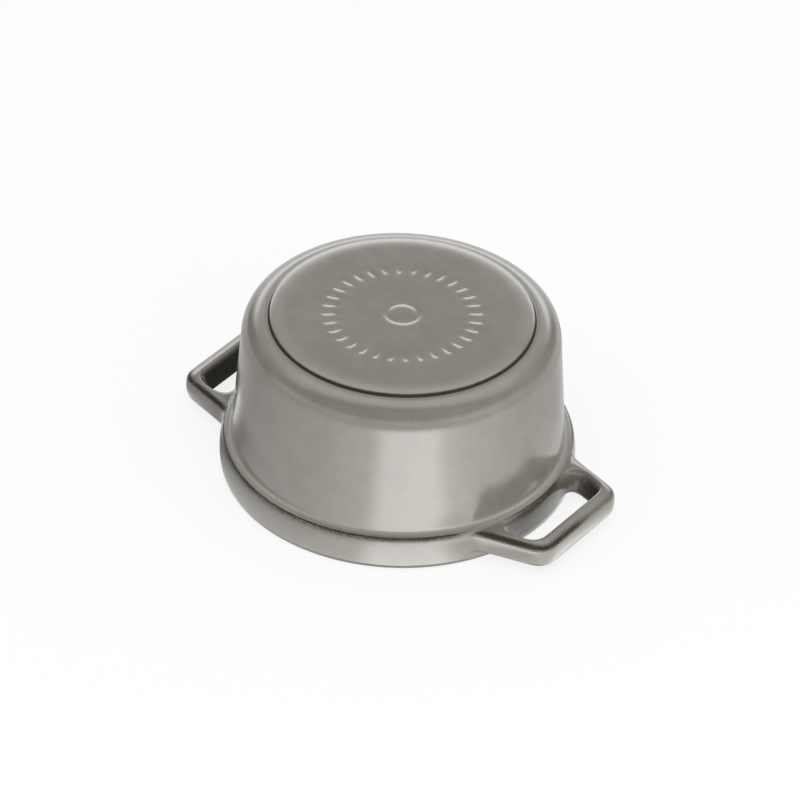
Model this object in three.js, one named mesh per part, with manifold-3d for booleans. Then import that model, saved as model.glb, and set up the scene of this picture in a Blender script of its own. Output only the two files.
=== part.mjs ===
// Mini cocotte: a small round lidded pot of enamelled cast iron, turned over and standing on its rim.
// The lid lies knob up inside the pot's collar, on the same surface as the rim.
// Millimetres, +Z up, +X through the two loop handles, origin under the pot's middle on that surface.
import * as THREE from 'three';
import { mergeVertices } from 'three/addons/utils/BufferGeometryUtils.js';
import Module from 'manifold-3d';

const wasm = await Module();
wasm.setup();

// Driving dimensions of the pot
const collarRadius = 52.5;
const collarHeight = 10.9;
const potHeight = 53.4;
const footRadius = 38.7;
const footHeight = 1.5;
const wallTopRadius = 47.2;
const wallFootRadius = 48.35;
const shoulderRadius = 10;
const castThickness = 3.4;

// Driving dimensions of the loop handles
const handleOverhang = 14.9;
const handleHalfWidth = 18.6;
const handleTaper = 0.26;
const handleBottom = 3;
const handleTop = 10.6;
const barWidth = 7.2;
const armWidth = 5.7;
const handleDraft = 1.8;

// Driving dimensions of the lid, its knob and their fastening
const lidFlangeThickness = 4.4;
const lidRise = 6.4;
const knobRadius = 10.5;
const knobHeight = 17;
const screwRadius = 2;

// Clearances
const lidPlay = 0.5;
const seatPlay = 0.6;
const bowlPlay = 0.9;
const boltPlay = 0.3;

// Facets round a full turn
const potFacets = 64;
const lidFacets = 48;
const knobFacets = 32;
const boltFacets = 24;

const enamel = new THREE.MeshStandardMaterial({ color: 0x8b8982, roughness: 0.3, metalness: 0 });
const nickel = new THREE.MeshStandardMaterial({ color: 0xb9b5ad, roughness: 0.28, metalness: 1 });
const steel = new THREE.MeshStandardMaterial({ color: 0x9a9ba0, roughness: 0.4, metalness: 1 });

// Turns a geometry into a closed solid that can be joined and cut.
function solid(geometry) {
  const bare = geometry.clone();
  bare.deleteAttribute('normal');
  bare.deleteAttribute('uv');
  const merged = mergeVertices(bare, 1e-4);
  const corners = merged.index.array;
  const kept = [];
  for (let i = 0; i < corners.length; i += 3) {
    const [a, b, c] = [corners[i], corners[i + 1], corners[i + 2]];
    if (a !== b && b !== c && c !== a) kept.push(a, b, c);
  }
  return new wasm.Manifold(new wasm.Mesh({
    numProp: 3,
    vertProperties: new Float32Array(merged.attributes.position.array),
    triVerts: new Uint32Array(kept),
  }));
}

// Turns a solid back into a named mesh.
function mesh(name, body, material) {
  const data = body.getMesh();
  const geometry = new THREE.BufferGeometry();
  geometry.setAttribute('position', new THREE.BufferAttribute(new Float32Array(data.vertProperties), 3));
  geometry.setIndex(new THREE.BufferAttribute(new Uint32Array(data.triVerts), 1));
  geometry.computeVertexNormals();
  const node = new THREE.Mesh(geometry, material);
  node.name = name;
  return node;
}

// Turns a profile of (radius, height) points about the Z axis.
function turned(points, facets) {
  const geometry = new THREE.LatheGeometry(points, facets);
  geometry.rotateX(Math.PI / 2);
  return solid(geometry);
}

// Points of an arc in the profile plane, from one angle to another in degrees, both ends included.
function arc(radius, height, size, from, to, steps) {
  const points = [];
  for (let i = 0; i <= steps; i += 1) {
    const angle = THREE.MathUtils.degToRad(from + (to - from) * i / steps);
    points.push(new THREE.Vector2(radius + size * Math.cos(angle), height + size * Math.sin(angle)));
  }
  return points;
}

const at = (radius, height) => new THREE.Vector2(radius, height);

// Pot: the lid's seat inside the collar
const lipThickness = 3.4;
const seatDepth = lidFlangeThickness + seatPlay;
const seatRadius = collarRadius - lipThickness;
const bowlMouthRadius = wallFootRadius - castThickness;

// Pot: the outer skin from the rim up to the foot
const rimEdge = 0.8;
const rimInset = 0.3;
const rimRadius = collarRadius - rimInset;
const collarEdge = 0.5;
const collarInset = 0.9;
const collarEdgeRadius = collarRadius - collarInset;
const collarSwell = (rimInset + collarInset) / 2;
const ledgeRise = 0.5;
const ledgeFillet = 2.2;
const shoulderHeight = potHeight - footHeight - shoulderRadius;
const shoulderMiddle = wallTopRadius - shoulderRadius;
const footCorner = THREE.MathUtils.radToDeg(Math.acos((footRadius - shoulderMiddle) / shoulderRadius));
const footEdge = 0.6;
const bulge = new THREE.QuadraticBezierCurve(
  at(rimRadius, rimEdge),
  at(collarRadius + collarSwell, collarHeight / 2),
  at(collarEdgeRadius, collarHeight - collarEdge),
);
const outerSkin = [
  ...arc(rimRadius - rimEdge, rimEdge, rimEdge, -90, -22, 3),
  ...bulge.getPoints(5),
  ...arc(collarEdgeRadius - collarEdge, collarHeight - collarEdge, collarEdge, 30, 80, 2),
  ...arc(
    wallFootRadius + ledgeFillet, collarHeight + ledgeRise + ledgeFillet, ledgeFillet, 265, 184, 4,
  ),
  ...arc(shoulderMiddle, shoulderHeight, shoulderRadius, 2, footCorner, 7),
  ...arc(footRadius - footEdge, potHeight - footEdge, footEdge, 0, 90, 3),
];

// Pot: the inside from the middle of the floor out to the lip
const bowlFillet = shoulderRadius - castThickness;
const bowlEdge = 0.8;
const lipEdge = 0.6;
const innerSkin = [
  ...arc(shoulderMiddle, shoulderHeight, bowlFillet, 90, 2, 5),
  ...arc(bowlMouthRadius + bowlEdge, seatDepth + bowlEdge, bowlEdge, 180, 270, 2),
  at(seatRadius, seatDepth),
  ...arc(seatRadius + lipEdge, lipEdge, lipEdge, 180, 270, 2),
];
const bowl = turned([
  at(0, innerSkin[0].y),
  ...innerSkin,
  ...outerSkin,
  at(0, potHeight),
], potFacets);

// Loop handles: a flat loop seen from above, its arms drawing together outwards. Each root meets
// the collar in a fillet outside and a tighter one inside, and the opening widens upwards as drawn
// from the mould. Both loops are cast in one with the pot.
const handleEdge = 1.3;
const cornerRadius = 6;
const rootFillet = 5;
const blendInset = 0.6;
const webProud = 0.4;
const rootInset = 0.4;
const blendRadius = collarRadius - blendInset;
const webRadius = collarRadius + webProud;
const rootDepth = seatRadius + rootInset;
const handleReach = collarRadius + handleOverhang;
const barInner = handleReach - barWidth;
const holeDepth = barInner - webRadius;
const holeCornerShare = 0.31;
const holeRootShare = 0.3;
const holeCornerRadius = holeDepth * holeCornerShare;
const holeRootFillet = holeDepth * holeRootShare;

// An arm's outer line: its outward normal, and how far the line lies from the pot's axis.
const armTurn = 90 - THREE.MathUtils.radToDeg(Math.atan(handleTaper));
const armNormal = at(1, 0).rotateAround(at(0, 0), THREE.MathUtils.degToRad(armTurn));
const armDistance = armNormal.dot(at(handleReach, handleHalfWidth));

// Centre of a rounding inside the corner of a cross line at x and a line parallel to the arm.
function cornerCentre(x, distance, size) {
  const middle = x - size;
  return at(middle, (distance - size - armNormal.x * middle) / armNormal.y);
}

// Centre of a fillet that touches a circle round the pot from outside and lies at a distance past the axis.
function rootCentre(circle, size, distance) {
  const along = Math.sqrt((circle + size) ** 2 - distance ** 2);
  return at(armNormal.x * distance + armNormal.y * along, armNormal.y * distance - armNormal.x * along);
}

const degrees = (point) => THREE.MathUtils.radToDeg(point.angle());
const mirrored = (points, sx, sy) => points.map(({ x, y }) => at(x * sx, y * sy));

const corner = cornerCentre(handleReach, armDistance, cornerRadius);
const root = rootCentre(blendRadius, rootFillet, armDistance + rootFillet);
const quarter = [
  ...arc(corner.x, corner.y, cornerRadius, 0, armTurn, 6),
  ...arc(root.x, root.y, rootFillet, armTurn + 180, degrees(root) + 180, 5),
  ...arc(0, 0, blendRadius, degrees(root), 85, 5).slice(1),
];
const half = [...quarter, ...mirrored(quarter, -1, 1).reverse()];
const outline = new THREE.Shape([...half, ...mirrored(half, 1, -1).reverse()]);

const holeLine = armDistance - armWidth;
const holeCorner = cornerCentre(barInner, holeLine, holeCornerRadius);
const holeRoot = rootCentre(webRadius, holeRootFillet, holeLine - holeRootFillet);
const holeHalf = [
  ...arc(holeCorner.x, holeCorner.y, holeCornerRadius, 0, armTurn, 4),
  ...arc(holeRoot.x, holeRoot.y, holeRootFillet, armTurn, degrees(holeRoot) + 180, 6),
  ...arc(0, 0, webRadius, degrees(holeRoot), 1.5, 3).slice(1),
];
const hole = [...holeHalf, ...mirrored(holeHalf, 1, -1).reverse()];
outline.holes.push(new THREE.Path(hole), new THREE.Path(mirrored(hole, -1, 1)));

const loops = new THREE.ExtrudeGeometry(outline, {
  depth: handleTop - handleBottom - 2 * handleEdge,
  bevelEnabled: true,
  bevelThickness: handleEdge,
  bevelSize: handleEdge,
  bevelOffset: -handleEdge,
  bevelSegments: 2,
});
loops.translate(0, 0, handleBottom + handleEdge);
const bore = new THREE.CylinderGeometry(rootDepth, rootDepth, 2 * collarHeight, potFacets);
bore.rotateX(Math.PI / 2);
const draft = new THREE.ExtrudeGeometry(new THREE.Shape(hole), {
  depth: handleEdge,
  bevelEnabled: true,
  bevelThickness: handleTop - handleBottom,
  bevelSize: handleDraft,
  bevelSegments: 1,
});
draft.translate(0, 0, handleTop);
const otherDraft = draft.clone().rotateZ(Math.PI);
const handles = solid(loops).subtract(solid(bore)).subtract(solid(draft)).subtract(solid(otherDraft));
const pot = bowl.add(handles);

// Lid: a low dome stepped up inside the flange, hollow below
const flangeRadius = seatRadius - lidPlay;
const flangeEdge = 0.5;
const stepRadius = bowlMouthRadius - bowlPlay;
const stepFillet = 1;
const crownEdge = 2.2;
const crownRise = 1.8;
const lidTop = lidFlangeThickness + lidRise;
const crownHeight = lidTop - crownRise;
const knobSeatRadius = 9;
const hollowRadius = stepRadius - castThickness;
const hollowFillet = 2;
const hollowDraft = 1.2;
const hollowTop = crownHeight - castThickness;
const ceiling = lidTop - castThickness;
const lidHoleRadius = screwRadius + boltPlay;
const lidShell = turned([
  at(lidHoleRadius, ceiling),
  at(knobSeatRadius, ceiling),
  ...arc(hollowRadius - hollowFillet, hollowTop - hollowFillet, hollowFillet, 85, 5, 3),
  ...arc(hollowRadius + hollowDraft, flangeEdge, flangeEdge, 180, 270, 2),
  ...arc(flangeRadius - flangeEdge, flangeEdge, flangeEdge, -90, 0, 2),
  ...arc(flangeRadius - flangeEdge, lidFlangeThickness - flangeEdge, flangeEdge, 0, 90, 2),
  ...arc(stepRadius + stepFillet, lidFlangeThickness + stepFillet, stepFillet, 270, 180, 3),
  ...arc(stepRadius - crownEdge, crownHeight - crownEdge, crownEdge, 0, 85, 3),
  at(knobSeatRadius, lidTop),
  at(lidHoleRadius, lidTop),
  at(lidHoleRadius, ceiling),
], lidFacets);

// Lid: blunt nubs under the dome, in rings, from which the condensed steam drips
const nubRings = [{ share: 0.37, count: 6 }, { share: 0.59, count: 12 }, { share: 0.81, count: 18 }];
const nubSides = 6;
const nubBase = 1.5;
const nubTip = 0.7;
const nubLength = 2;
const nubRoot = 1;
const underside = (radius) => THREE.MathUtils.lerp(
  ceiling, hollowTop, (radius - knobSeatRadius) / (hollowRadius - hollowFillet - knobSeatRadius),
);
let lid = lidShell;
nubRings.forEach(({ share, count }) => {
  const radius = hollowRadius * share;
  for (let i = 0; i < count; i += 1) {
    const angle = 2 * Math.PI * (i + 0.5) / count;
    const nub = new THREE.CylinderGeometry(nubBase, nubTip, nubLength + nubRoot, nubSides);
    nub.rotateX(Math.PI / 2);
    nub.translate(
      radius * Math.cos(angle), radius * Math.sin(angle), underside(radius) + (nubRoot - nubLength) / 2,
    );
    lid = lid.add(solid(nub));
  }
});

// Knob: turned, with a flared foot, a waist and a domed head, bored from below for the screw
const knobFoot = 8;
const knobFootEdge = 1.2;
const knobWaist = 4;
const waistLow = 2.6;
const waistHigh = 7;
const headHeight = 7;
const headRim = 0.9;
const headEdge = 2.2;
const headDome = 1.2;
const boreRadius = screwRadius + boltPlay;
const boreShare = 0.53;
const boreDepth = knobHeight * boreShare;
const knobTop = lidTop + knobHeight;
const headBottom = knobTop - headHeight;
const waistCurve = new THREE.CubicBezierCurve(
  at(knobFoot, lidTop + knobFootEdge),
  at(knobWaist, lidTop + waistLow),
  at(knobWaist, lidTop + waistHigh),
  at(knobRadius - headRim, headBottom),
);
const domeEdge = arc(knobRadius - headEdge, knobTop - headDome - headEdge, headEdge, 0, 75, 3);
const dome = new THREE.QuadraticBezierCurve(domeEdge[3], at(knobRadius / 2, knobTop), at(0, knobTop));
const knob = turned([
  at(0, lidTop + boreDepth),
  at(boreRadius, lidTop + boreDepth),
  at(boreRadius, lidTop),
  at(knobFoot, lidTop),
  ...waistCurve.getPoints(7),
  at(knobRadius, headBottom + headRim),
  ...domeEdge,
  ...dome.getPoints(3).slice(1),
], knobFacets);

// Washer and screw: under the lid, the screw's shank running up through both into the knob
const washerRadius = 5.4;
const washerThickness = 0.8;
const washerBottom = ceiling - washerThickness;
const washer = turned([
  at(boreRadius, washerBottom),
  at(washerRadius, washerBottom),
  at(washerRadius, ceiling),
  at(boreRadius, ceiling),
  at(boreRadius, washerBottom),
], boltFacets);

const screwHeadRadius = 4.4;
const screwHeadHeight = 2.4;
const screwEdge = 1.1;
const tipEdge = 0.6;
const tipPlay = 1;
const screwHeadBottom = washerBottom - screwHeadHeight;
const screwTip = lidTop + boreDepth - tipPlay;
const screw = turned([
  at(0, screwHeadBottom),
  ...arc(screwHeadRadius - screwEdge, screwHeadBottom + screwEdge, screwEdge, -90, 0, 3),
  at(screwHeadRadius, washerBottom),
  at(screwRadius, washerBottom),
  at(screwRadius, screwTip - tipEdge),
  at(screwRadius - tipEdge, screwTip),
  at(0, screwTip),
], boltFacets);

const group = new THREE.Group();
group.name = 'mini_cocotte';
group.add(
  mesh('pot', pot, enamel),
  mesh('lid', lid, enamel),
  mesh('knob', knob, nickel),
  mesh('knob_washer', washer, steel),
  mesh('knob_screw', screw, steel),
);

export default group;
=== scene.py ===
"""A mini cocotte of grey enamelled cast iron, turned over on its rim, its lid lying inside the collar."""
import math

import bmesh
import bpy
from mathutils import Matrix, Vector


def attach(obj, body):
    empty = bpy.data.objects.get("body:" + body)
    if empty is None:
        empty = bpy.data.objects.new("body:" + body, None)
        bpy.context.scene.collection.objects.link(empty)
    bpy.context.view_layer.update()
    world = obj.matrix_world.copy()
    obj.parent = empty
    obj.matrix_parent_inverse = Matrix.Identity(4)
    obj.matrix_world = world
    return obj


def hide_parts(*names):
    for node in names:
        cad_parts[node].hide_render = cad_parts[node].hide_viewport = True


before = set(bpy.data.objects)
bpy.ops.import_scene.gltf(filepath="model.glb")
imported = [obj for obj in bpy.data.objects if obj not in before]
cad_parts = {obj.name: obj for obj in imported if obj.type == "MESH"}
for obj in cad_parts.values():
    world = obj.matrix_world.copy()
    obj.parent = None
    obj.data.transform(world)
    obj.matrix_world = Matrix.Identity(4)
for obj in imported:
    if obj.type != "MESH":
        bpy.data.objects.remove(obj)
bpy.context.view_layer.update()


# The pot: bowl, collar, foot and two loop handles are one iron casting, turned over on its rim.
# The sand mould leaves soft corners, and the enamel thins to a dark line along each raised edge.
# Sizes are in millimetres until the mesh is done.
POT_COLUMNS = 64
POT_STEP = 360 / POT_COLUMNS
RIM_THIN_AND_PAINTED_SHADOW = 0.3
FOOT_TOP = 53.37
MARK_OUTSIDE = 23.7
MARK_INSIDE = 19.5
MARK_EDGE = 0.85
MARK_DEPTH = 0.18
MARK_SLACK = 0.1
SAME_POINT = 0.001
MILLIMETRE = 0.001

# A point of the profile is a radius and a height, and outside also how dark or pale the enamel is there:
# 1 is nearly black and below 0 it is pale. Thin and pooled enamel are real; some points also hold painted
# shade and painted light, told at each table.
bowl_inside = [
    (0, 48.5), (10, 48.5), (24, 48.5), (35, 48.5), (39.2, 48.2), (42.2, 46.4), (43.7, 43.6), (44.0, 40.5),
    (44.4, 28), (44.8, 14), (45.05, 6.6), (45.2, 5.4), (46.0, 5.0), (48.6, 5.0), (49.12, 4.9), (49.12, 4.2),
    (49.12, 1.2), (49.25, 0.4), (49.8, 0), (51.0, 0),
]
# At the rim's edge the dark line is thin enamel and also painted contact shadow against the table.
# The pale band on the ledge is pooled enamel and also painted light in the corner under the wall.
collar_outside = [
    (51.75, 0.05, 1), (52.15, 0.5, 0.55), (52.4, 1.6, 0), (52.5, 2.4, 0),
    (52.52, 3.0, 0), (52.58, 4.6, 0), (52.52, 6.8, 0.08), (52.2, 9.0, 0.3), (51.85, 10.2, 0.75),
    (51.45, 10.75, 0.95), (51.0, 11.0, -0.2), (50.2, 11.08, -0.9), (49.5, 11.15, -1),
]
# The first two points carry on the ledge's pale band: pooled enamel and also painted light.
# The last three make the ring round the foot pale: pooled enamel in the corner and also painted light.
wall_outside = [
    (49.25, 11.4, -0.7), (49.15, 12.3, -0.2), (48.9, 16, 0), (48.45, 22, 0), (47.97, 28, 0),
    (47.5, 34, 0), (47.12, 39, 0), (46.88, 42.7, 0), (46.72, 45.6, 0), (46.35, 47.65, 0),
    (45.26, 49.64, 0), (43.5, 51.1, 0), (41.6, 51.76, -0.3), (40.3, 51.9, -0.45), (39.7, 51.92, -0.2),
]
# The dark line at the foot's step is thin enamel on the step and also painted shade in its corner.
# The pale band on the foot's rounded edge is a painted highlight.
foot_outside = [
    (39.25, 51.94, 0.1), (38.95, 52.02, 1.6), (38.85, 52.4, 1.8), (38.68, 52.76, 0.9), (38.15, 53.0, -0.3),
    (37, 53.18, -0.4), (35.4, 53.3, -0.35), (33.3, 53.36, -0.1), (30, FOOT_TOP, 0), (26, FOOT_TOP, 0),
    (MARK_OUTSIDE, FOOT_TOP, 0), (MARK_INSIDE, FOOT_TOP, 0), (13, FOOT_TOP, 0), (6.9, FOOT_TOP, 0),
    (5.9, 53.35, 0), (4.9, 53.2, 0), (4.3, 53.2, 0), (3.3, 53.35, 0), (2.3, FOOT_TOP, 0), (0, FOOT_TOP, 0),
]
pot_profile = [(radius, height, 0) for radius, height in bowl_inside]
pot_profile[-1] = (*bowl_inside[-1], RIM_THIN_AND_PAINTED_SHADOW)
pot_profile += collar_outside + wall_outside + foot_outside
first_outside_row = len(bowl_inside)
# The handles' arms grow from the fifth to the ninth row of the collar.
arm_bottom_row = first_outside_row + 4
arm_top_row = first_outside_row + 8


def spin_round(mesh, chain, columns, closed=False):
    """Joins a chain of vertices by edges and spins it once round the upright axis."""
    links = [mesh.edges.new(pair) for pair in zip(chain, chain[1:])]
    if closed:
        links.append(mesh.edges.new((chain[-1], chain[0])))
    bmesh.ops.spin(
        mesh, geom=chain + links, cent=(0, 0, 0), axis=(0, 0, 1), dvec=(0, 0, 0), angle=2 * math.pi,
        steps=columns, use_merge=True)


pot_mesh = bmesh.new()
# This map holds real thin and pooled enamel, and also painted shade and painted light.
thin_and_painted_light = pot_mesh.verts.layers.float.new("glaze_thin_and_painted_light")
row = pot_mesh.verts.layers.int.new("row")
pot_chain = []
for index, (radius, height, thinness) in enumerate(pot_profile):
    vertex = pot_mesh.verts.new((radius, 0, height))
    vertex[thin_and_painted_light] = thinness
    vertex[row] = index
    pot_chain.append(vertex)
half_step = Matrix.Rotation(math.radians(POT_STEP / 2), 3, "Z")
bmesh.ops.rotate(pot_mesh, verts=pot_chain, cent=(0, 0, 0), matrix=half_step)
spin_round(pot_mesh, pot_chain, POT_COLUMNS)
bmesh.ops.remove_doubles(pot_mesh, verts=pot_mesh.verts, dist=SAME_POINT)
for face in pot_mesh.faces:
    face.material_index = int(max(vertex[row] for vertex in face.verts) < first_outside_row)


# In the foot, a ring of short bars lies round a small plain ring, both sunk in the casting.
def is_mark(face):
    """Whether a face lies in the ring of bars, where every second face is sunk."""
    radii = [vertex.co.xy.length for vertex in face.verts]
    reaches_out = abs(max(radii) - MARK_OUTSIDE) < MARK_SLACK
    reaches_in = abs(min(radii) - MARK_INSIDE) < MARK_SLACK
    centre = face.calc_center_median()
    turn = round(math.degrees(math.atan2(centre.y, centre.x)) / POT_STEP)
    return reaches_out and reaches_in and turn % 2 == 1


bmesh.ops.recalc_face_normals(pot_mesh, faces=pot_mesh.faces)
marked = [face for face in pot_mesh.faces if is_mark(face)]
bmesh.ops.inset_individual(pot_mesh, faces=marked, thickness=MARK_EDGE, depth=-MARK_DEPTH)

# Each handle is drawn out of the collar as two arms, which turn the corner and join in a cross bar.
# The faces lean in upwards, so that the casting draws out of the sand.
HANDLE_REACH = 67.35
HANDLE_HALF_WIDTH = 18.6
HANDLE_BOTTOM = 2.9
HANDLE_TOP = 10.6
ROOT_TOP = 10.8
ARM_START_TOP = 10.65
ARM_SLOPE = 0.26
ARM_WIDTH = 5.7
ARM_FIRST_ANGLE = 2.5 * POT_STEP
BAR_WIDTH = 7.2
OUTER_CORNER = 6.0
HOLE_CORNER = 2.4
OUTER_FILLET = 5.0
OUTER_FILLET_CIRCLE = 51.9
OUTER_FILLET_TURN = math.radians(233)
HOLE_FILLET = 2.2
HOLE_FILLET_CIRCLE = 52.9
HOLE_FILLET_TURN = math.radians(134)

# A section has four columns, from the hole (0) to the outside (3), and five levels, from below
# (0) to above (4). A corner's drop takes it towards the middle of the section's height.
ARM_COLUMNS = range(4)
TOP_LEVEL = 4
LEVEL_RISE = (0, 0.2, 0.48, 0.76, 1)
OUTER_LEAN = (0.45, 0.1, 0, 0.2, 0.9)
HOLE_LEAN = (0.1, 0.45, 1.1, 1.85, 2.6)
COLUMN_SHARE = (0, 0.3, 0.7, 1)
TOP_COLUMN_SHARE = (0, 0.26, 0.6, 1)
CORNER_DROP = {(0, 0): 0.2, (3, 0): 0.3, (0, 4): 0.1, (1, 4): 0.05, (2, 4): 0.32, (3, 4): 0.95}

# The enamel is thin along a handle's edges. The dark on the sides of its hole and on the collar inside it
# is painted shade. The edges of the back arms and the left bar are painted lighter, as painted light,
# and a pale line along the hole's top edge is a painted highlight.
EDGE_THINNESS_AND_HIGHLIGHT = {(3, 4): 1.05, (2, 4): 0.27, (1, 4): -0.2, (3, 3): 0.1, (3, 0): 1.1}
HOLE_PAINTED_SHADE = {(0, 0): 1.2, (0, 1): 1.05, (0, 2): 1.05, (0, 3): 1.0}
COLLAR_ABOVE_ARM = (0.35, 0, 0, 0.35)
COLLAR_IN_HOLE_PAINTED_SHADE = (0.7, 0.3, 0.35, 0.6)
BACK_EDGES_PAINTED_LIGHTER = 0.4
LEFT_BAR_EDGES_PAINTED_LIGHTER = 0.25
CORNER_PAINTED_SHADE = 1
BAR_PAINTED_SHADE = 1.1

arm_turn = math.pi / 2 - math.atan(ARM_SLOPE)
across = Vector((math.cos(arm_turn), math.sin(arm_turn)))
along = Vector((across.y, -across.x))
outer_line = across.dot(Vector((HANDLE_REACH, HANDLE_HALF_WIDTH)))
hole_line = outer_line - ARM_WIDTH
bar_inner = HANDLE_REACH - BAR_WIDTH


def toward(turn, size):
    """A step of a size in a direction seen from above."""
    return Vector((math.cos(turn), math.sin(turn))) * size


def corner_middle(x, line, size):
    """Centre of the rounding between a bar face at x and an arm face."""
    return Vector((x - size, (line - size - across.x * (x - size)) / across.y))


def fillet_middle(circle, size, line):
    """Centre of the fillet between the collar and a line parallel to the arm."""
    return across * line + along * math.sqrt((circle + size) ** 2 - line ** 2)


outer_corner = corner_middle(HANDLE_REACH, outer_line, OUTER_CORNER)
hole_corner = corner_middle(bar_inner, hole_line, HOLE_CORNER)
outer_fillet = fillet_middle(OUTER_FILLET_CIRCLE, OUTER_FILLET, outer_line + OUTER_FILLET)
hole_fillet = fillet_middle(HOLE_FILLET_CIRCLE, HOLE_FILLET, hole_line - HOLE_FILLET)
outer_run = (along.dot(outer_fillet), along.dot(outer_corner))
hole_run = (along.dot(hole_fillet), along.dot(hole_corner))


def root_sides():
    """A section in the fillets: two functions that give its outer and hole side for a lean."""
    return (lambda lean: outer_fillet + toward(OUTER_FILLET_TURN, OUTER_FILLET + lean),
            lambda lean: hole_fillet + toward(HOLE_FILLET_TURN, HOLE_FILLET + lean))


def arm_sides(share):
    """A section of the straight arm, from its fillets (0) to the corner (1)."""
    outer_place = along * (outer_run[0] + (outer_run[1] - outer_run[0]) * share)
    hole_place = along * (hole_run[0] + (hole_run[1] - hole_run[0]) * share)
    return (lambda lean: across * (outer_line - lean) + outer_place,
            lambda lean: across * (hole_line + lean) + hole_place)


def corner_sides(share):
    """A section in the corner, from the bar (0) to the arm (1)."""
    return (lambda lean: outer_corner + toward(arm_turn * share, OUTER_CORNER - lean),
            lambda lean: hole_corner + toward(arm_turn * share, HOLE_CORNER + lean))


def bar_sides(share):
    """A section of the cross bar, from its middle (0) to the corner (1)."""
    return (lambda lean: Vector((HANDLE_REACH - lean, outer_corner.y * share)),
            lambda lean: Vector((bar_inner + lean, hole_corner.y * share)))


# A station is a section's sides, its top, the wear of its edges and the painted shade on its hole side.
stations = [
    (root_sides(), ROOT_TOP, 0.8, 0.1),
    (arm_sides(0.05), ARM_START_TOP, 1.5, 0.4),
    (arm_sides(0.5), HANDLE_TOP, 1.5, 0.65),
    (arm_sides(0.95), HANDLE_TOP, 1.3, 0.85),
]
for share, wear in ((0.75, 1.2), (0.5, 1.15), (0.25, 1.15)):
    stations.append((corner_sides(share), HANDLE_TOP, wear, CORNER_PAINTED_SHADE))
for share, wear in ((1.0, 1.2), (0.66, 1.15), (0.33, 1.1)):
    stations.append((bar_sides(share), HANDLE_TOP, wear, BAR_PAINTED_SHADE))


def section_point(sides, top, column, level):
    """A point of a section, in one of its columns and at one of its levels."""
    outer = sides[0](OUTER_LEAN[level])
    inner = sides[1](HOLE_LEAN[level])
    shares = TOP_COLUMN_SHARE if level == TOP_LEVEL else COLUMN_SHARE
    place = inner.lerp(outer, shares[column])
    height = HANDLE_BOTTOM + (top - HANDLE_BOTTOM) * LEVEL_RISE[level]
    drop = CORNER_DROP.get((column, level), 0)
    return Vector((place.x, place.y, height + (drop if level == 0 else -drop)))


def arm_column(vertex):
    """Which column of an arm a vertex of the collar belongs to, below 0 where it faces the hole."""
    angle = math.degrees(math.atan2(abs(vertex.co.y), abs(vertex.co.x)))
    return round((angle - ARM_FIRST_ANGLE) / POT_STEP)


column = pot_mesh.verts.layers.int.new("column")
side_x = pot_mesh.verts.layers.int.new("side_x")
side_y = pot_mesh.verts.layers.int.new("side_y")
for vertex in pot_mesh.verts:
    vertex[column] = arm_column(vertex)
    vertex[side_x] = 1 if vertex.co.x > 0 else -1
    vertex[side_y] = 1 if vertex.co.y > 0 else -1
    if vertex[column] in ARM_COLUMNS and abs(vertex[row] - arm_top_row) <= 1:
        vertex[thin_and_painted_light] *= COLLAR_ABOVE_ARM[vertex[column]]
    # The collar inside each hole is darkened: painted shade.
    if vertex[column] < 0 and arm_bottom_row <= vertex[row] < arm_top_row:
        vertex[thin_and_painted_light] = COLLAR_IN_HOLE_PAINTED_SHADE[vertex[row] - arm_bottom_row]


def starts_arm(face):
    """Whether a face of the collar is one that an arm is drawn out of."""
    in_columns = all(vertex[column] in ARM_COLUMNS for vertex in face.verts)
    return in_columns and all(arm_bottom_row <= vertex[row] <= arm_top_row for vertex in face.verts)


# All four arms are drawn out of the collar together, station by station.
caps = [face for face in pot_mesh.faces if starts_arm(face)]
for sides, top, wear, painted_hole_shade in stations:
    drawn = bmesh.ops.extrude_face_region(pot_mesh, geom=caps)["geom"]
    bmesh.ops.delete(pot_mesh, geom=caps, context="FACES")
    caps = [item for item in drawn if isinstance(item, bmesh.types.BMFace)]
    for vertex in (item for item in drawn if isinstance(item, bmesh.types.BMVert)):
        spot = (vertex[column], vertex[row] - arm_bottom_row)
        place = section_point(sides, top, *spot)
        vertex.co = (place.x * vertex[side_x], place.y * vertex[side_y], place.z)
        # The back arms and the left bar have their dark edges painted lighter, as painted light; the hole
        # sides take painted shade.
        edge_wear_and_painted_light = wear if vertex[side_y] < 0 else wear * BACK_EDGES_PAINTED_LIGHTER
        if vertex[side_x] < 0 and painted_hole_shade == BAR_PAINTED_SHADE:
            edge_wear_and_painted_light *= LEFT_BAR_EDGES_PAINTED_LIGHTER
        vertex[thin_and_painted_light] = EDGE_THINNESS_AND_HIGHLIGHT.get(spot, 0) * edge_wear_and_painted_light + HOLE_PAINTED_SHADE.get(spot, 0) * painted_hole_shade
# The arms of each handle end face to face, and their open ends are bridged into one bar.
rims = {1: [], -1: []}
for cap in caps:
    for edge in cap.edges:
        if sum(face in caps for face in edge.link_faces) == 1:
            rims[edge.verts[0][side_x]].append(edge)
bmesh.ops.delete(pot_mesh, geom=caps, context="FACES")
for rim in rims.values():
    bmesh.ops.bridge_loops(pot_mesh, edges=rim)


def smooth_in_metres(mesh):
    """Turns a mesh's faces outwards, smooths them and takes the mesh from millimetres to metres."""
    bmesh.ops.recalc_face_normals(mesh, faces=mesh.faces)
    for face in mesh.faces:
        face.smooth = True
    bmesh.ops.scale(mesh, vec=(MILLIMETRE, MILLIMETRE, MILLIMETRE), verts=mesh.verts)


smooth_in_metres(pot_mesh)
for layer in ("row", "column", "side_x", "side_y"):
    pot_mesh.verts.layers.int.remove(pot_mesh.verts.layers.int[layer])


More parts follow.
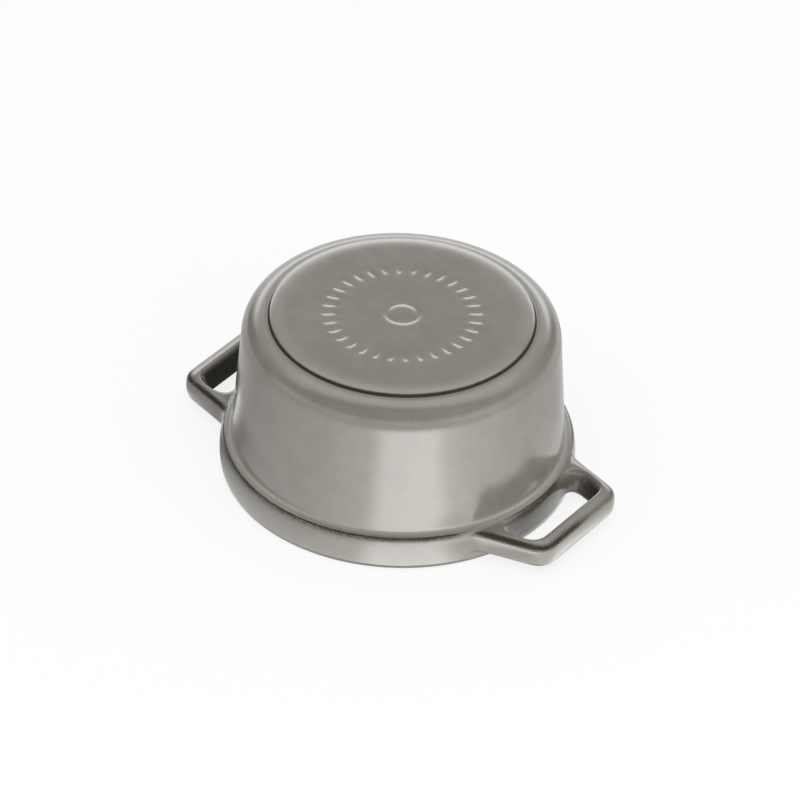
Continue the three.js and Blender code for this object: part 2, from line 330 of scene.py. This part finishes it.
def placed(name, mesh):
    """Makes an object of a mesh and puts it in the scene."""
    data = bpy.data.meshes.new(name)
    mesh.to_mesh(data)
    mesh.free()
    made = bpy.data.objects.new(name, data)
    bpy.context.scene.collection.objects.link(made)
    return made


def finished_piece(name, mesh, body, node=None, rounds=0):
    """Places a piece, rounds it with subdivision, and hangs it on its body."""
    piece = placed(name, mesh)
    if rounds:
        rounding = piece.modifiers.new("rounding", "SUBSURF")
        rounding.levels = rounds
        rounding.render_levels = rounds
    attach(piece, body)
    if node:
        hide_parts(node)
    return piece


class Shade:
    """A shader socket that can be added, multiplied and so on, and that makes further nodes in its tree."""

    def __init__(self, tree, socket=None):
        self.tree = tree
        self.socket = socket

    def node(self, kind, settings=None, sockets=None, out=0):
        """A new node of a kind: its settings first, then its sockets' values or links."""
        made = self.tree.nodes.new(kind)
        for key, value in (settings or {}).items():
            setattr(made, key, value)
        for key, value in (sockets or {}).items():
            if isinstance(value, Shade):
                self.tree.links.new(value.socket, made.inputs[key])
            else:
                made.inputs[key].default_value = value
        return Shade(self.tree, made.outputs[out] if len(made.outputs) else None)

    def math(self, operation, first, second):
        return self.node("ShaderNodeMath", {"operation": operation}, {0: first, 1: second})

    def __add__(self, other):
        return self.math("ADD", self, other)

    def __radd__(self, other):
        return self.math("ADD", other, self)

    def __sub__(self, other):
        return self.math("SUBTRACT", self, other)

    def __rsub__(self, other):
        return self.math("SUBTRACT", other, self)

    def __mul__(self, other):
        return self.math("MULTIPLY", self, other)

    def __rmul__(self, other):
        return self.math("MULTIPLY", other, self)

    def smooth(self, low, high):
        """0 below low, 1 above high, and a soft step between them."""
        return self.node(
            "ShaderNodeMapRange", {"interpolation_type": "SMOOTHSTEP"},
            {"Value": self, "From Min": low, "From Max": high})

    def blend(self, first, second):
        """The first colour where this is 0, and the second where it is 1."""
        return self.node(
            "ShaderNodeMix", {"data_type": "RGBA"}, {0: self, 6: first, 7: second}, out=2)


def new_finish(name):
    """An empty material, and the shade that its nodes start from."""
    material = bpy.data.materials.new(name)
    material.use_nodes = True
    material.node_tree.nodes.clear()
    return material, Shade(material.node_tree)


# The bare colour is thin enamel and also painted shade; the pooled colour is pooled enamel and also painted
# light.
ENAMEL_DEEP = (0.153, 0.1406, 0.1188, 1)
ENAMEL_PALE = (0.173, 0.1594, 0.1362, 1)
ENAMEL_SPECK = (0.120, 0.113, 0.093, 1)
ENAMEL_POOLED_AND_PAINTED_LIGHT = (0.27, 0.258, 0.225, 1)
ENAMEL_BARE_AND_PAINTED_SHADE = (0.020, 0.0192, 0.009, 1)
COOKING_BLACK = (0.012, 0.012, 0.012, 1)
COOKING_GREY = (0.034, 0.033, 0.031, 1)


def grey_enamel(name, thinned_and_painted):
    """A glassy coat over iron, clouded in its depth, and nearly black where it runs thin. Its map also
    holds painted shade and painted light.
    """
    material, start = new_finish(name)
    spot = start.node("ShaderNodeTexCoord", out="Object")
    cloud = start.node(
        "ShaderNodeTexNoise", sockets={"Vector": spot, "Scale": 140, "Detail": 4, "Roughness": 0.62})
    speck = start.node("ShaderNodeTexNoise", sockets={"Vector": spot, "Scale": 2600, "Detail": 2})
    peel = start.node("ShaderNodeTexNoise", sockets={"Vector": spot, "Scale": 520, "Detail": 2})
    colour = cloud.smooth(0.3, 0.72).blend(ENAMEL_DEEP, ENAMEL_PALE)
    colour = speck.smooth(0.6, 0.75).blend(colour, ENAMEL_SPECK)
    dark = 0.0
    matt = 0.0
    if thinned_and_painted:
        bare_and_painted_light = start.node("ShaderNodeAttribute", {"attribute_name": "glaze_thin_and_painted_light"}, out="Fac")
        grain = start.node("ShaderNodeTexNoise", sockets={"Vector": spot, "Scale": 1900, "Detail": 3})
        # Dark follows thin enamel, and also painted shade in the handle holes, at the rim and at the foot's
        # step.
        dark = (bare_and_painted_light + (grain - 0.5) * 2.2 * bare_and_painted_light + (cloud - 0.5) * 0.8 * bare_and_painted_light).smooth(0.05, 1.0)
        matt = bare_and_painted_light.smooth(0.75, 1.25)
        # Pale follows pooled enamel, and also painted light on the ledge, the foot's edge and the handles'
        # inner top edges.
        pooled_and_painted_light = (0 - bare_and_painted_light).smooth(0.0, 1.0)
        colour = pooled_and_painted_light.blend(colour, ENAMEL_POOLED_AND_PAINTED_LIGHT)
        colour = dark.blend(colour, ENAMEL_BARE_AND_PAINTED_SHADE)
    rough = 0.18 + cloud * 0.08 + dark * 0.12 + matt * 0.4
    bumps = start.node("ShaderNodeBump", sockets={
        "Strength": 1.0, "Distance": 0.000028, "Height": peel * 0.8 + speck * 0.12})
    surface = start.node("ShaderNodeBsdfPrincipled", sockets={
        "Base Color": colour, "Roughness": rough, "Normal": bumps, "IOR": 1.45,
        "Coat Weight": 0.95 - 0.95 * matt, "Coat Roughness": 0.15})
    start.node("ShaderNodeOutputMaterial", sockets={"Surface": surface})
    return material


def black_enamel(name):
    """The matt, grainy cooking enamel inside the bowl and under the lid."""
    material, start = new_finish(name)
    spot = start.node("ShaderNodeTexCoord", out="Object")
    grit = start.node("ShaderNodeTexNoise", sockets={"Vector": spot, "Scale": 1700, "Detail": 3})
    cloud = start.node("ShaderNodeTexNoise", sockets={"Vector": spot, "Scale": 90, "Detail": 2})
    colour = (grit * 0.6 + cloud * 0.4).smooth(0.3, 0.7).blend(COOKING_BLACK, COOKING_GREY)
    bumps = start.node("ShaderNodeBump", sockets={"Strength": 1.0, "Distance": 0.00006, "Height": grit})
    surface = start.node("ShaderNodeBsdfPrincipled", sockets={
        "Base Color": colour, "Roughness": 0.42 + grit * 0.2, "Normal": bumps})
    start.node("ShaderNodeOutputMaterial", sockets={"Surface": surface})
    return material


pot = finished_piece("enamelled_pot", pot_mesh, "pot", "pot", rounds=2)
inside_enamel = black_enamel("black_cooking_enamel")
pot.data.materials.append(grey_enamel("grey_enamel_of_pot", True))
pot.data.materials.append(inside_enamel)


# The lid: a second iron casting, a low dome on a flat flange, hollow and black below.
# It lies knob up inside the collar, on the same table as the rim.
LID_COLUMNS = 48
lid_outside = [
    (41.85, 0.9), (42.0, 0.25), (42.6, 0), (44, 0), (47.6, 0), (48.4, 0.1), (48.6, 0.7), (48.6, 2.2),
    (48.6, 3.8), (48.35, 4.3), (47.6, 4.4), (45.6, 4.4), (44.5, 4.55), (44.1, 5.2), (44.02, 6.2),
    (43.6, 7.7), (42.6, 8.7), (40.6, 9.12), (33, 9.55), (24, 10.0), (15, 10.5), (9.6, 10.8), (7, 10.8),
    (2.6, 10.8), (2.3, 10.6),
]
lid_inside = [
    (2.3, 7.6), (2.6, 7.4), (6, 7.4), (9, 7.4), (16, 7.02), (26, 6.45), (35, 5.85), (38.6, 5.5),
    (40.2, 4.6), (40.8, 3.2),
]

# The enamel is black inside this radius and below a line that falls outwards through the dome's
# thickness, and on the flat that the lid stands on.
BLACK_REACH = 42
BLACK_LINE_HEIGHT = 10.0
BLACK_LINE_FALL = 0.06
BLACK_FLAT_TOP = 0.3


def turned(profile, columns):
    """A closed ring, or a solid where the profile starts on the axis, from (radius, height) points."""
    mesh = bmesh.new()
    chain = [mesh.verts.new((radius, 0, height)) for radius, height in profile]
    spin_round(mesh, chain, columns, closed=profile[0][0] > 0)
    bmesh.ops.remove_doubles(mesh, verts=mesh.verts, dist=SAME_POINT)
    smooth_in_metres(mesh)
    return mesh


lid_mesh = turned(lid_outside + lid_inside, LID_COLUMNS)
for face in lid_mesh.faces:
    middle = face.calc_center_median() / MILLIMETRE
    out = middle.xy.length
    below_dome = out < BLACK_REACH and middle.z < BLACK_LINE_HEIGHT - out * BLACK_LINE_FALL
    face.material_index = int(below_dome or middle.z < BLACK_FLAT_TOP)
lid = finished_piece("enamelled_lid", lid_mesh, "lid", "lid", rounds=2)
lid.data.materials.append(grey_enamel("grey_enamel_of_lid", False))
lid.data.materials.append(inside_enamel)


# The drip nubs: blunt points in three rings under the dome, cast in one piece with the lid.
# Steam gathers on them and drips back on the food. They have the bowl's black enamel.
NUB_SIDES = 10
NUB_TIP = 0.75
NUB_ROOT = 1.6
NUB_LENGTH = 3.0
NUB_MIDDLE_DROP = 0.5
NUB_ROUNDING = 0.35
# Each ring has a radius, a count and the height of the dome's underside there.
nub_rings = ((15.0, 6, 7.1), (24.0, 12, 6.55), (32.9, 18, 6.0))

nub_mesh = bmesh.new()
for ring_radius, count, ceiling in nub_rings:
    middle_height = ceiling - NUB_MIDDLE_DROP
    for index in range(count):
        turn = 2 * math.pi * (index + 0.5) / count
        middle = (ring_radius * math.cos(turn), ring_radius * math.sin(turn), middle_height)
        cone = bmesh.ops.create_cone(
            nub_mesh, cap_ends=True, segments=NUB_SIDES, radius1=NUB_TIP, radius2=NUB_ROOT,
            depth=NUB_LENGTH, matrix=Matrix.Translation(middle))
        edges = dict.fromkeys(edge for vertex in cone["verts"] for edge in vertex.link_edges)
        tip = [edge for edge in edges if all(vertex.co.z < middle_height for vertex in edge.verts)]
        bmesh.ops.bevel(
            nub_mesh, geom=tip, offset=NUB_ROUNDING, affect="EDGES", segments=2, profile=0.5, material=-1)
smooth_in_metres(nub_mesh)
nubs = finished_piece("drip_nubs", nub_mesh, "lid")
nubs.data.materials.append(inside_enamel)


# The knob: turned from steel bar and nickel plated, seated on the lid's middle.
# It is bored from below for the screw that holds it.
KNOB_COLUMNS = 32
NICKEL_LIGHT = (0.66, 0.63, 0.57, 1)
NICKEL_DARK = (0.56, 0.53, 0.48, 1)
knob_profile = [
    (0, 19.8), (2.2, 19.8), (2.3, 19.6), (2.3, 11.0), (2.5, 10.8), (7.2, 10.8), (7.9, 10.95), (8.0, 11.5),
    (7.4, 12.2), (6.2, 12.9), (5.35, 14.2), (5.2, 15.8), (5.6, 17.6), (6.9, 19.6), (8.6, 20.6),
    (9.8, 21.1), (10.4, 21.8), (10.5, 22.8), (10.5, 24.2), (10.2, 25.6), (9.3, 26.6), (7.6, 27.2),
    (4.5, 27.65), (0, 27.8),
]


def turned_metal(name, light, dark, roughness, ring_scale):
    """Metal with fine rings left by the tool, and faint smudges that change its gloss."""
    material, start = new_finish(name)
    spot = start.node("ShaderNodeTexCoord", out="Object")
    ring_place = start.node("ShaderNodeMapping", sockets={"Vector": spot, "Scale": (0.02, 0.02, 1)})
    rings = start.node(
        "ShaderNodeTexNoise", sockets={"Vector": ring_place, "Scale": ring_scale, "Detail": 2})
    smudge = start.node("ShaderNodeTexNoise", sockets={"Vector": spot, "Scale": 160, "Detail": 3})
    colour = (rings * 0.4 + smudge * 0.6).smooth(0.3, 0.7).blend(dark, light)
    bumps = start.node("ShaderNodeBump", sockets={"Strength": 1.0, "Distance": 0.000006, "Height": rings})
    surface = start.node("ShaderNodeBsdfPrincipled", sockets={
        "Base Color": colour, "Metallic": 1.0, "Normal": bumps,
        "Roughness": roughness + smudge * 0.12 + rings * 0.06})
    start.node("ShaderNodeOutputMaterial", sockets={"Surface": surface})
    return material


knob_mesh = turned(knob_profile, KNOB_COLUMNS)
knob = finished_piece("knob_of_nickel", knob_mesh, "lid", "knob", rounds=2)
satin_nickel = turned_metal("satin_nickel", NICKEL_LIGHT, NICKEL_DARK, roughness=0.16, ring_scale=4200)
knob.data.materials.append(satin_nickel)


# The washer: a flat ring stamped from steel sheet, its edges a little rounded.
# The screw's head presses it against the underside of the lid.
WASHER_COLUMNS = 32
STEEL_LIGHT = (0.50, 0.50, 0.51, 1)
STEEL_DARK = (0.38, 0.38, 0.39, 1)
washer_profile = [
    (2.35, 6.65), (2.5, 6.6), (5.1, 6.6), (5.38, 6.75), (5.38, 7.25), (5.1, 7.4), (2.5, 7.4), (2.35, 7.35),
]
washer_mesh = turned(washer_profile, WASHER_COLUMNS)
washer = finished_piece("steel_washer", washer_mesh, "lid", "knob_washer", rounds=1)
bare_steel = turned_metal("bare_steel", STEEL_LIGHT, STEEL_DARK, roughness=0.26, ring_scale=5200)
washer.data.materials.append(bare_steel)


# The screw: steel, with a pan head under the lid and a hexagon socket pressed into the head.
# Its shank runs up through washer and lid into the knob's bore, and holds all three together.
SCREW_COLUMNS = 36
SOCKET_REACH = 1.7
SOCKET_FLAT = 0.88
SOCKET_TOP = 6
SIXTH_TURN = 60
screw_profile = [
    (0, 5.5), (1.3, 5.5), (1.5, 5.4), (1.5, 4.4), (1.65, 4.22), (2.4, 4.22), (3.5, 4.45), (4.15, 5.05),
    (4.38, 5.9), (4.38, 6.5), (4.2, 6.6), (2.3, 6.6), (2.0, 6.8), (2.0, 12), (2.0, 17.9), (1.6, 18.6),
    (1.2, 18.8), (0, 18.8),
]
screw_mesh = turned(screw_profile, SCREW_COLUMNS)
for vertex in screw_mesh.verts:
    place = vertex.co / MILLIMETRE
    if place.xy.length < SOCKET_REACH and place.z < SOCKET_TOP:
        turn = math.degrees(math.atan2(place.y, place.x))
        from_flat = (turn + SIXTH_TURN / 2) % SIXTH_TURN - SIXTH_TURN / 2
        vertex.co.xy *= SOCKET_FLAT / math.cos(math.radians(from_flat))
screw = finished_piece("steel_screw", screw_mesh, "lid", "knob_screw", rounds=1)
screw.data.materials.append(bare_steel)


# The table: a wide sheet of plain white card that the pot and lid lie on.
# It glows for the camera and in gloss, so that it stays white, and still takes a soft shadow.
TABLE_REACH = 3
TABLE_WHITE = (0.86, 0.86, 0.86, 1)
TABLE_GLOW = 0.82
WHITE = (1, 1, 1, 1)


def ray_masks(start):
    """Masks for what the camera sees, what gloss mirrors and what shows through a clear thing."""
    kinds = ("Is Camera Ray", "Is Glossy Ray", "Is Transmission Ray")
    return [start.node("ShaderNodeLightPath", out=kind) for kind in kinds]


table_mesh = bmesh.new()
bmesh.ops.create_grid(table_mesh, x_segments=1, y_segments=1, size=TABLE_REACH)
table = placed("white_table", table_mesh)
table_finish, start = new_finish("white_card")
seen, mirrored, passed = ray_masks(start)
card = start.node("ShaderNodeBsdfDiffuse", sockets={"Color": TABLE_WHITE})
glow = start.node("ShaderNodeEmission", sockets={"Color": WHITE, "Strength": 1.0})
lit = start.node(
    "ShaderNodeMixShader", sockets={0: (seen + mirrored + passed) * TABLE_GLOW, 1: card, 2: glow})
start.node("ShaderNodeOutputMaterial", sockets={"Surface": lit})
table.data.materials.append(table_finish)


# The camera: a long lens from the front right and above, as the photo was taken.
# It leans a little to one side, and two small shifts set the pot in the frame.
CAMERA_AZIMUTH = math.radians(35.66)
CAMERA_ELEVATION = math.radians(37.07)
CAMERA_ROLL = math.radians(2.15)
CAMERA_DISTANCE = 1.5362
CAMERA_AIM = Vector((0, 0, 0.025))
SHIFT_RIGHT = 0.000142
SHIFT_DOWN = 0.00263
FOCAL_LENGTH = 236.1
SENSOR_WIDTH = 36

# Level ways towards the camera and to its right, which also place the lamps and cards.
front = Vector((math.sin(CAMERA_AZIMUTH), -math.cos(CAMERA_AZIMUTH), 0))
side = Vector((math.cos(CAMERA_AZIMUTH), math.sin(CAMERA_AZIMUTH), 0))
upright = Vector((0, 0, 1))
back = front * math.cos(CAMERA_ELEVATION) + upright * math.sin(CAMERA_ELEVATION)
right = side * math.cos(CAMERA_ROLL) + back.cross(side) * math.sin(CAMERA_ROLL)
up = back.cross(right)
eye = CAMERA_AIM + back * CAMERA_DISTANCE + right * SHIFT_RIGHT - up * SHIFT_DOWN
lens = bpy.data.cameras.new("camera")
lens.lens = FOCAL_LENGTH
lens.sensor_width = SENSOR_WIDTH
camera = bpy.data.objects.new("camera", lens)
bpy.context.scene.collection.objects.link(camera)
camera.matrix_world = Matrix((
    (right.x, up.x, back.x, eye.x),
    (right.y, up.y, back.y, eye.y),
    (right.z, up.z, back.z, eye.z),
    (0, 0, 0, 1)))
bpy.context.scene.camera = camera


# The room: white to the camera, and an even pale grey for the light that it sheds on the pot.
# Gloss sees a dim wall behind, with a soft window and a paler ceiling, and before the pot a wall
# that is bright below and dark above.
ROOM_LIGHT = 0.8
WALL_BEHIND = 0.2
UPPER_WALL = 0.3
WINDOW_SILL = 0.3
WINDOW_LIGHT = 3.2
WALL_BEFORE = 0.08
LOWER_WALL = 0.9

world = bpy.data.worlds.new("white_room")
world.use_nodes = True
world.node_tree.nodes.clear()
bpy.context.scene.world = world
room = Shade(world.node_tree)
seen, mirrored, passed = ray_masks(room)
direction = room.node("ShaderNodeTexCoord", out="Generated")
rise = room.node("ShaderNodeSeparateXYZ", sockets={0: direction}, out="Z")


def pointing(way):
    """How far a direction points along a level way."""
    return room.node(
        "ShaderNodeVectorMath", {"operation": "DOT_PRODUCT"}, {0: direction, 1: way}, out="Value")


before = pointing(front).smooth(-0.25, 0.15)
aside = pointing(side)
window_width = 1 - (aside * aside).smooth(0.06, 0.36)
above_sill = WINDOW_SILL + rise.smooth(0.2, 0.42) * (1 - WINDOW_SILL)
window_height = above_sill * (1 - rise.smooth(0.43, 0.55))
upper_wall = rise.smooth(0.42, 0.56)
ceiling_glow = rise.smooth(0.66, 0.82)
window = window_height * window_width
light_behind = WALL_BEHIND + upper_wall * UPPER_WALL + window * WINDOW_LIGHT + ceiling_glow
light_before = WALL_BEFORE + (1 - rise.smooth(0.22, 0.46)) * LOWER_WALL
gloss = light_behind * (1 - before) + light_before * before
plain = (1 - seen) * (1 - passed) * (1 - mirrored)
level = seen + passed + mirrored * gloss + plain * ROOM_LIGHT
sky = room.node("ShaderNodeBackground", sockets={"Color": WHITE, "Strength": level})
room.node("ShaderNodeOutputWorld", sockets={"Surface": sky})


# The lamps: four soft boxes, white cloth over a frame, one above, one in front and one on each side.
# They only shed light: neither the camera nor the gloss shows them.
LAMP_AIM = Vector((0, 0, 0.03))


def soft_box(name, place, width, height, watts):
    """A rectangular lamp that faces the pot."""
    light = bpy.data.lights.new(name, "AREA")
    light.shape = "RECTANGLE"
    light.size = width
    light.size_y = height
    light.energy = watts
    lamp = bpy.data.objects.new(name, light)
    lamp.location = place
    lamp.rotation_euler = (LAMP_AIM - place).to_track_quat("-Z", "Y").to_euler()
    lamp.visible_camera = False
    lamp.visible_glossy = False
    bpy.context.scene.collection.objects.link(lamp)


soft_box("top_fill", front * 0.45 + upright, width=0.7, height=0.7, watts=3.1)
soft_box("front_fill", front * 1.1 + side * 0.25 + upright * 0.2, width=0.9, height=0.3, watts=2.6)
soft_box("left_fill", front * 0.2 - side + upright * 0.5, width=0.6, height=0.6, watts=1.0)
soft_box("right_fill", front * 0.65 + side * 0.85 + upright * 0.1, width=0.5, height=0.3, watts=5.5)


# The cards: white and grey glowing sheets laid on the table round the pot, seen only in its gloss, where
# they paint highlights and reflections; they glow though they are no lamp. Each pair is a turn from the
# camera's side towards its right, and how brightly the card glows there.
near_cards = [
    (-180, 0.8), (-128, 0.9), (-112, 1.6), (-105, 0.7), (-98, 0.25), (-90, 0.2), (-75, 0.6), (-42, 1.5),
    (-14, 2.5), (-6, 5.0), (15, 5.0), (23, 2.0), (29, 1.6), (37, 2.6), (58, 2.1), (75, 1.0), (106, 0.6),
    (180, 0.8),
]
far_cards = [
    (-180, 0.8), (-125, 0.5), (-95, 0.45), (-75, 0.8), (-42, 1.4), (-14, 2.3), (-6, 4.8), (19, 5.1),
    (27, 3.0), (40, 2.1), (75, 0.9), (92, 0.7), (106, 0.5), (135, 0.6), (180, 0.8),
]
distant_cards = [(-180, 0.9), (-95, 0.5), (-42, 1.0), (40, 1.0), (92, 0.6), (180, 0.9)]
CARD_COLUMNS = 120
CARD_RINGS = (0.053, 0.07, 0.076, 0.135, 0.17, 0.8)
CARD_LIFT = 0.0003
INNER_RING_END = 0.06
NEAR_END = 0.073
FAR_END = 0.15
HANDLE_SECTOR = 0.38
HANDLE_CARD_START = 0.069


def card_glow(reach, turn):
    """How brightly the card glows at a distance from the pot's axis and a turn."""
    if reach < NEAR_END:
        cards = near_cards
    elif reach < FAR_END:
        cards = far_cards
    else:
        cards = distant_cards
    for (low, dim), (high, bright) in zip(cards, cards[1:]):
        if low <= turn <= high:
            return dim + (bright - dim) * (turn - low) / (high - low)


card_mesh = bmesh.new()
glow_layer = card_mesh.verts.layers.float.new("glow")
card_chain = [card_mesh.verts.new((0, -reach, CARD_LIFT)) for reach in CARD_RINGS]
spin_round(card_mesh, card_chain, CARD_COLUMNS)
for vertex in card_mesh.verts:
    turn = math.degrees(math.atan2(vertex.co.dot(side), vertex.co.dot(front)))
    vertex[glow_layer] = card_glow(vertex.co.length, turn)
    under_handle = abs(vertex.co.y) < HANDLE_SECTOR * abs(vertex.co.x)
    if under_handle and vertex.co.length < INNER_RING_END:
        vertex.co.xy *= HANDLE_CARD_START / CARD_RINGS[0]
glowing_reflection_cards = placed("glowing_reflection_cards", card_mesh)
# Their emission paints highlights and reflections on the pot.
card_finish, start = new_finish("glowing_highlight_card")
painted = start.node("ShaderNodeAttribute", {"attribute_name": "glow"}, out="Color")
glow = start.node("ShaderNodeEmission", sockets={"Color": painted, "Strength": 1.0})
start.node("ShaderNodeOutputMaterial", sockets={"Surface": glow})
glowing_reflection_cards.data.materials.append(card_finish)
glowing_reflection_cards.visible_camera = False
glowing_reflection_cards.visible_diffuse = False
glowing_reflection_cards.visible_shadow = False

bpy.context.scene.view_settings.view_transform = "Standard"
